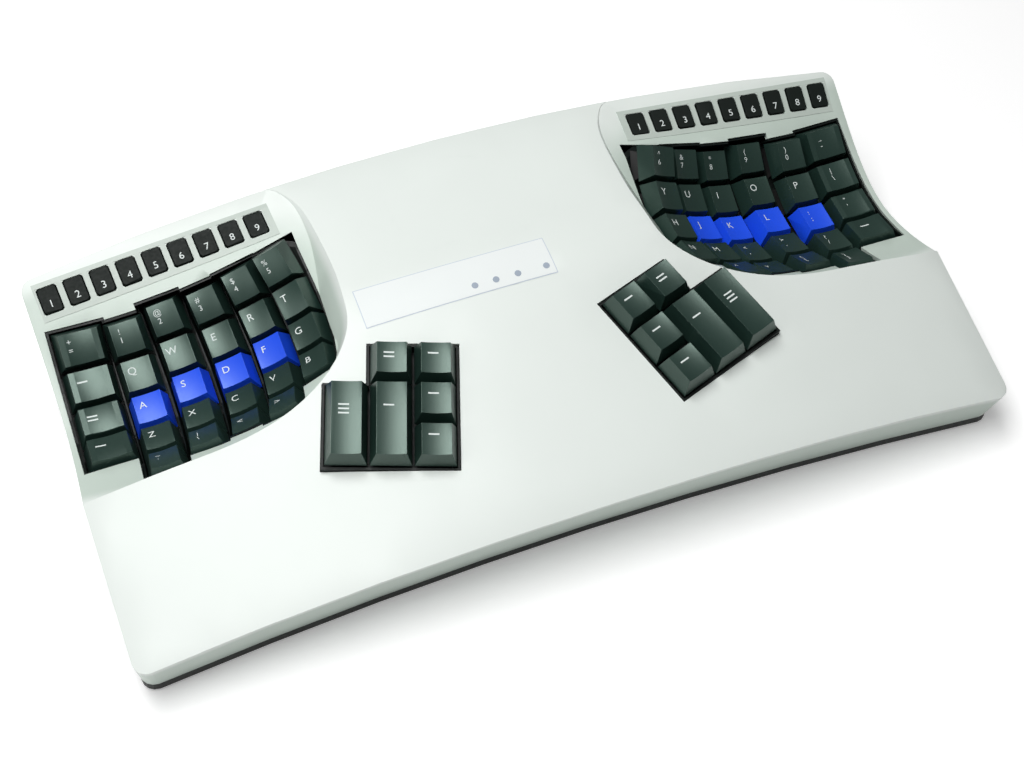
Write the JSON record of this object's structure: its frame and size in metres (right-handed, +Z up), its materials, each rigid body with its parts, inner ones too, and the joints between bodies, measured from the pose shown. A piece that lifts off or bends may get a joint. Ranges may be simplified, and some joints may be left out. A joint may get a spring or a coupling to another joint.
{
  "type": "contoured split keyboard",
  "caption": "One-piece ergonomic keyboard with two concave key bowls, tilted thumb clusters, rubber function-key strips and a sloped palm deck.",
  "frame": {"origin": "middle of the case on the desk plane", "axes": "+X to the typist's right along the width, +Y away from the typist, +Z up"},
  "size_m": [0.4132, 0.2076, 0.078],
  "materials": {
    "case_grey": "fine-grained moulded plastic, light warm grey",
    "base_black": "matte black moulded plastic",
    "frame_black": "matte black moulded plastic",
    "key_black": "satin charcoal key plastic",
    "key_blue": "satin royal blue key plastic",
    "keypad_rubber": "matte black silicone rubber",
    "switch_brown": "black nylon",
    "board_green": "green circuit board",
    "foot_rubber": "black rubber",
    "screw_steel": "zinc plated",
    "lamp_lens": "clear grey-blue lens"
  },
  "bodies": {
    "case": {"top_housing": "case_grey", "base_tray": "base_black", "left_key_frame": "frame_black", "right_key_frame": "frame_black", "left_thumb_tray": "frame_black", "right_thumb_tray": "frame_black", "switch_bodies": "switch_brown", "circuit_boards": "board_green", "rubber_feet": "foot_rubber", "case_screws": "screw_steel", "indicator_lamps": "lamp_lens", "cord_bush": "base_black"},
    "left_number_keys_outer": {"left_number_keys_outer": "key_black"},
    "left_number_keys_middle": {"left_number_keys_middle": "key_black"},
    "left_number_keys_inner": {"left_number_keys_inner": "key_black"},
    "left_upper_keys_outer": {"left_upper_keys_outer": "key_black"},
    "left_upper_keys_middle": {"left_upper_keys_middle": "key_black"},
    "left_upper_keys_inner": {"left_upper_keys_inner": "key_black"},
    "left_home_key_outer": {"left_home_key_outer": "key_black"},
    "left_home_key_little": {"left_home_key_little": "key_blue"},
    "left_home_key_ring": {"left_home_key_ring": "key_blue"},
    "left_home_key_middle": {"left_home_key_middle": "key_blue"},
    "left_home_key_index": {"left_home_key_index": "key_blue"},
    "left_home_key_inner": {"left_home_key_inner": "key_black"},
    "left_lower_keys_outer": {"left_lower_keys_outer": "key_black"},
    "left_lower_keys_middle": {"left_lower_keys_middle": "key_black"},
    "left_lower_keys_inner": {"left_lower_keys_inner": "key_black"},
    "left_bottom_keys_outer": {"left_bottom_keys_outer": "key_black"},
    "left_bottom_keys_inner": {"left_bottom_keys_inner": "key_black"},
    "left_thumb_outer_tall": {"left_thumb_outer_tall": "key_black"},
    "left_thumb_middle_tall": {"left_thumb_middle_tall": "key_black"},
    "left_thumb_upper_middle": {"left_thumb_upper_middle": "key_black"},
    "left_thumb_upper_inner": {"left_thumb_upper_inner": "key_black"},
    "left_thumb_centre_inner": {"left_thumb_centre_inner": "key_black"},
    "left_thumb_lower_inner": {"left_thumb_lower_inner": "key_black"},
    "left_function_keypad": {"left_function_keypad": "keypad_rubber"},
    "right_number_keys_outer": {"right_number_keys_outer": "key_black"},
    "right_number_keys_middle": {"right_number_keys_middle": "key_black"},
    "right_number_keys_inner": {"right_number_keys_inner": "key_black"},
    "right_upper_keys_outer": {"right_upper_keys_outer": "key_black"},
    "right_upper_keys_middle": {"right_upper_keys_middle": "key_black"},
    "right_upper_keys_inner": {"right_upper_keys_inner": "key_black"},
    "right_home_key_outer": {"right_home_key_outer": "key_black"},
    "right_home_key_little": {"right_home_key_little": "key_blue"},
    "right_home_key_ring": {"right_home_key_ring": "key_blue"},
    "right_home_key_middle": {"right_home_key_middle": "key_blue"},
    "right_home_key_index": {"right_home_key_index": "key_blue"},
    "right_home_key_inner": {"right_home_key_inner": "key_black"},
    "right_lower_keys_outer": {"right_lower_keys_outer": "key_black"},
    "right_lower_keys_middle": {"right_lower_keys_middle": "key_black"},
    "right_lower_keys_inner": {"right_lower_keys_inner": "key_black"},
    "right_bottom_keys_outer": {"right_bottom_keys_outer": "key_black"},
    "right_bottom_keys_inner": {"right_bottom_keys_inner": "key_black"},
    "right_thumb_outer_tall": {"right_thumb_outer_tall": "key_black"},
    "right_thumb_middle_tall": {"right_thumb_middle_tall": "key_black"},
    "right_thumb_upper_middle": {"right_thumb_upper_middle": "key_black"},
    "right_thumb_upper_inner": {"right_thumb_upper_inner": "key_black"},
    "right_thumb_centre_inner": {"right_thumb_centre_inner": "key_black"},
    "right_thumb_lower_inner": {"right_thumb_lower_inner": "key_black"},
    "right_function_keypad": {"right_function_keypad": "keypad_rubber"}
  },
  "joints": [
    {"name": "press_left_number_keys_outer", "type": "slide", "parent": "case", "child": "left_number_keys_outer", "axis": [0.0169, 0.633, -0.774], "range_m": [0, 0.004], "stiffness_N_per_m": 150, "springref_m": -0.004},
    {"name": "press_left_number_keys_middle", "type": "slide", "parent": "case", "child": "left_number_keys_middle", "axis": [0.1867, 0.6303, -0.7535], "range_m": [0, 0.004], "stiffness_N_per_m": 150, "springref_m": -0.004},
    {"name": "press_left_number_keys_inner", "type": "slide", "parent": "case", "child": "left_number_keys_inner", "axis": [0.3489, 0.6234, -0.6998], "range_m": [0, 0.004], "stiffness_N_per_m": 150, "springref_m": -0.004},
    {"name": "press_left_upper_keys_outer", "type": "slide", "parent": "case", "child": "left_upper_keys_outer", "axis": [0.0191, 0.3961, -0.918], "range_m": [0, 0.004], "stiffness_N_per_m": 150, "springref_m": -0.004},
    {"name": "press_left_upper_keys_middle", "type": "slide", "parent": "case", "child": "left_upper_keys_middle", "axis": [0.2114, 0.3931, -0.8949], "range_m": [0, 0.004], "stiffness_N_per_m": 150, "springref_m": -0.004},
    {"name": "press_left_upper_keys_inner", "type": "slide", "parent": "case", "child": "left_upper_keys_inner", "axis": [0.3951, 0.3852, -0.834], "range_m": [0, 0.004], "stiffness_N_per_m": 150, "springref_m": -0.004},
    {"name": "press_left_home_key_outer", "type": "slide", "parent": "case", "child": "left_home_key_outer", "axis": [-0.0306, 0.1287, -0.9912], "range_m": [0, 0.004], "stiffness_N_per_m": 75, "springref_m": -0.004},
    {"name": "press_left_home_key_little", "type": "slide", "parent": "case", "child": "left_home_key_little", "axis": [0.0703, 0.1285, -0.9892], "range_m": [0, 0.004], "stiffness_N_per_m": 75, "springref_m": -0.004},
    {"name": "press_left_home_key_ring", "type": "slide", "parent": "case", "child": "left_home_key_ring", "axis": [0.1704, 0.1269, -0.9772], "range_m": [0, 0.004], "stiffness_N_per_m": 75, "springref_m": -0.004},
    {"name": "press_left_home_key_middle", "type": "slide", "parent": "case", "child": "left_home_key_middle", "axis": [0.2687, 0.1241, -0.9552], "range_m": [0, 0.004], "stiffness_N_per_m": 75, "springref_m": -0.004},
    {"name": "press_left_home_key_index", "type": "slide", "parent": "case", "child": "left_home_key_index", "axis": [0.3644, 0.1199, -0.9235], "range_m": [0, 0.004], "stiffness_N_per_m": 75, "springref_m": -0.004},
    {"name": "press_left_home_key_inner", "type": "slide", "parent": "case", "child": "left_home_key_inner", "axis": [0.4563, 0.1146, -0.8824], "range_m": [0, 0.004], "stiffness_N_per_m": 75, "springref_m": -0.004},
    {"name": "press_left_lower_keys_outer", "type": "slide", "parent": "case", "child": "left_lower_keys_outer", "axis": [0.0191, -0.1485, -0.9887], "range_m": [0, 0.004], "stiffness_N_per_m": 150, "springref_m": -0.004},
    {"name": "press_left_lower_keys_middle", "type": "slide", "parent": "case", "child": "left_lower_keys_middle", "axis": [0.2114, -0.1515, -0.9656], "range_m": [0, 0.004], "stiffness_N_per_m": 150, "springref_m": -0.004},
    {"name": "press_left_lower_keys_inner", "type": "slide", "parent": "case", "child": "left_lower_keys_inner", "axis": [0.3951, -0.1594, -0.9047], "range_m": [0, 0.004], "stiffness_N_per_m": 150, "springref_m": -0.004},
    {"name": "press_left_bottom_keys_outer", "type": "slide", "parent": "case", "child": "left_bottom_keys_outer", "axis": [0.1023, -0.4151, -0.904], "range_m": [0, 0.004], "stiffness_N_per_m": 150, "springref_m": -0.004},
    {"name": "press_left_bottom_keys_inner", "type": "slide", "parent": "case", "child": "left_bottom_keys_inner", "axis": [0.2692, -0.4199, -0.8667], "range_m": [0, 0.004], "stiffness_N_per_m": 150, "springref_m": -0.004},
    {"name": "press_left_thumb_outer_tall", "type": "slide", "parent": "case", "child": "left_thumb_outer_tall", "axis": [0, 0.2676, -0.9635], "range_m": [0, 0.004], "stiffness_N_per_m": 75, "springref_m": -0.004},
    {"name": "press_left_thumb_middle_tall", "type": "slide", "parent": "case", "child": "left_thumb_middle_tall", "axis": [0, 0.2676, -0.9635], "range_m": [0, 0.004], "stiffness_N_per_m": 75, "springref_m": -0.004},
    {"name": "press_left_thumb_upper_middle", "type": "slide", "parent": "case", "child": "left_thumb_upper_middle", "axis": [0, 0.2676, -0.9635], "range_m": [0, 0.004], "stiffness_N_per_m": 75, "springref_m": -0.004},
    {"name": "press_left_thumb_upper_inner", "type": "slide", "parent": "case", "child": "left_thumb_upper_inner", "axis": [0, 0.2676, -0.9635], "range_m": [0, 0.004], "stiffness_N_per_m": 75, "springref_m": -0.004},
    {"name": "press_left_thumb_centre_inner", "type": "slide", "parent": "case", "child": "left_thumb_centre_inner", "axis": [0, 0.2676, -0.9635], "range_m": [0, 0.004], "stiffness_N_per_m": 75, "springref_m": -0.004},
    {"name": "press_left_thumb_lower_inner", "type": "slide", "parent": "case", "child": "left_thumb_lower_inner", "axis": [0, 0.2676, -0.9635], "range_m": [0, 0.004], "stiffness_N_per_m": 75, "springref_m": -0.004},
    {"name": "press_left_function_keypad", "type": "slide", "parent": "case", "child": "left_function_keypad", "axis": [0.0548, 0.402, -0.914], "range_m": [0, 0.0008], "stiffness_N_per_m": 1500, "springref_m": -0.0005},
    {"name": "press_right_number_keys_outer", "type": "slide", "parent": "case", "child": "right_number_keys_outer", "axis": [-0.0169, 0.633, -0.774], "range_m": [0, 0.004], "stiffness_N_per_m": 150, "springref_m": -0.004},
    {"name": "press_right_number_keys_middle", "type": "slide", "parent": "case", "child": "right_number_keys_middle", "axis": [-0.1867, 0.6303, -0.7535], "range_m": [0, 0.004], "stiffness_N_per_m": 150, "springref_m": -0.004},
    {"name": "press_right_number_keys_inner", "type": "slide", "parent": "case", "child": "right_number_keys_inner", "axis": [-0.3489, 0.6234, -0.6998], "range_m": [0, 0.004], "stiffness_N_per_m": 150, "springref_m": -0.004},
    {"name": "press_right_upper_keys_outer", "type": "slide", "parent": "case", "child": "right_upper_keys_outer", "axis": [-0.0191, 0.3961, -0.918], "range_m": [0, 0.004], "stiffness_N_per_m": 150, "springref_m": -0.004},
    {"name": "press_right_upper_keys_middle", "type": "slide", "parent": "case", "child": "right_upper_keys_middle", "axis": [-0.2114, 0.3931, -0.8949], "range_m": [0, 0.004], "stiffness_N_per_m": 150, "springref_m": -0.004},
    {"name": "press_right_upper_keys_inner", "type": "slide", "parent": "case", "child": "right_upper_keys_inner", "axis": [-0.3951, 0.3852, -0.834], "range_m": [0, 0.004], "stiffness_N_per_m": 150, "springref_m": -0.004},
    {"name": "press_right_home_key_outer", "type": "slide", "parent": "case", "child": "right_home_key_outer", "axis": [0.0306, 0.1287, -0.9912], "range_m": [0, 0.004], "stiffness_N_per_m": 75, "springref_m": -0.004},
    {"name": "press_right_home_key_little", "type": "slide", "parent": "case", "child": "right_home_key_little", "axis": [-0.0703, 0.1285, -0.9892], "range_m": [0, 0.004], "stiffness_N_per_m": 75, "springref_m": -0.004},
    {"name": "press_right_home_key_ring", "type": "slide", "parent": "case", "child": "right_home_key_ring", "axis": [-0.1704, 0.1269, -0.9772], "range_m": [0, 0.004], "stiffness_N_per_m": 75, "springref_m": -0.004},
    {"name": "press_right_home_key_middle", "type": "slide", "parent": "case", "child": "right_home_key_middle", "axis": [-0.2687, 0.1241, -0.9552], "range_m": [0, 0.004], "stiffness_N_per_m": 75, "springref_m": -0.004},
    {"name": "press_right_home_key_index", "type": "slide", "parent": "case", "child": "right_home_key_index", "axis": [-0.3644, 0.1199, -0.9235], "range_m": [0, 0.004], "stiffness_N_per_m": 75, "springref_m": -0.004},
    {"name": "press_right_home_key_inner", "type": "slide", "parent": "case", "child": "right_home_key_inner", "axis": [-0.4563, 0.1146, -0.8824], "range_m": [0, 0.004], "stiffness_N_per_m": 75, "springref_m": -0.004},
    {"name": "press_right_lower_keys_outer", "type": "slide", "parent": "case", "child": "right_lower_keys_outer", "axis": [-0.0191, -0.1485, -0.9887], "range_m": [0, 0.004], "stiffness_N_per_m": 150, "springref_m": -0.004},
    {"name": "press_right_lower_keys_middle", "type": "slide", "parent": "case", "child": "right_lower_keys_middle", "axis": [-0.2114, -0.1515, -0.9656], "range_m": [0, 0.004], "stiffness_N_per_m": 150, "springref_m": -0.004},
    {"name": "press_right_lower_keys_inner", "type": "slide", "parent": "case", "child": "right_lower_keys_inner", "axis": [-0.3951, -0.1594, -0.9047], "range_m": [0, 0.004], "stiffness_N_per_m": 150, "springref_m": -0.004},
    {"name": "press_right_bottom_keys_outer", "type": "slide", "parent": "case", "child": "right_bottom_keys_outer", "axis": [-0.1023, -0.4151, -0.904], "range_m": [0, 0.004], "stiffness_N_per_m": 150, "springref_m": -0.004},
    {"name": "press_right_bottom_keys_inner", "type": "slide", "parent": "case", "child": "right_bottom_keys_inner", "axis": [-0.2692, -0.4199, -0.8667], "range_m": [0, 0.004], "stiffness_N_per_m": 150, "springref_m": -0.004},
    {"name": "press_right_thumb_outer_tall", "type": "slide", "parent": "case", "child": "right_thumb_outer_tall", "axis": [0, 0.2676, -0.9635], "range_m": [0, 0.004], "stiffness_N_per_m": 75, "springref_m": -0.004},
    {"name": "press_right_thumb_middle_tall", "type": "slide", "parent": "case", "child": "right_thumb_middle_tall", "axis": [0, 0.2676, -0.9635], "range_m": [0, 0.004], "stiffness_N_per_m": 75, "springref_m": -0.004},
    {"name": "press_right_thumb_upper_middle", "type": "slide", "parent": "case", "child": "right_thumb_upper_middle", "axis": [0, 0.2676, -0.9635], "range_m": [0, 0.004], "stiffness_N_per_m": 75, "springref_m": -0.004},
    {"name": "press_right_thumb_upper_inner", "type": "slide", "parent": "case", "child": "right_thumb_upper_inner", "axis": [0, 0.2676, -0.9635], "range_m": [0, 0.004], "stiffness_N_per_m": 75, "springref_m": -0.004},
    {"name": "press_right_thumb_centre_inner", "type": "slide", "parent": "case", "child": "right_thumb_centre_inner", "axis": [0, 0.2676, -0.9635], "range_m": [0, 0.004], "stiffness_N_per_m": 75, "springref_m": -0.004},
    {"name": "press_right_thumb_lower_inner", "type": "slide", "parent": "case", "child": "right_thumb_lower_inner", "axis": [0, 0.2676, -0.9635], "range_m": [0, 0.004], "stiffness_N_per_m": 75, "springref_m": -0.004},
    {"name": "press_right_function_keypad", "type": "slide", "parent": "case", "child": "right_function_keypad", "axis": [-0.0548, 0.402, -0.914], "range_m": [0, 0.0008], "stiffness_N_per_m": 1500, "springref_m": -0.0005}
  ]
}
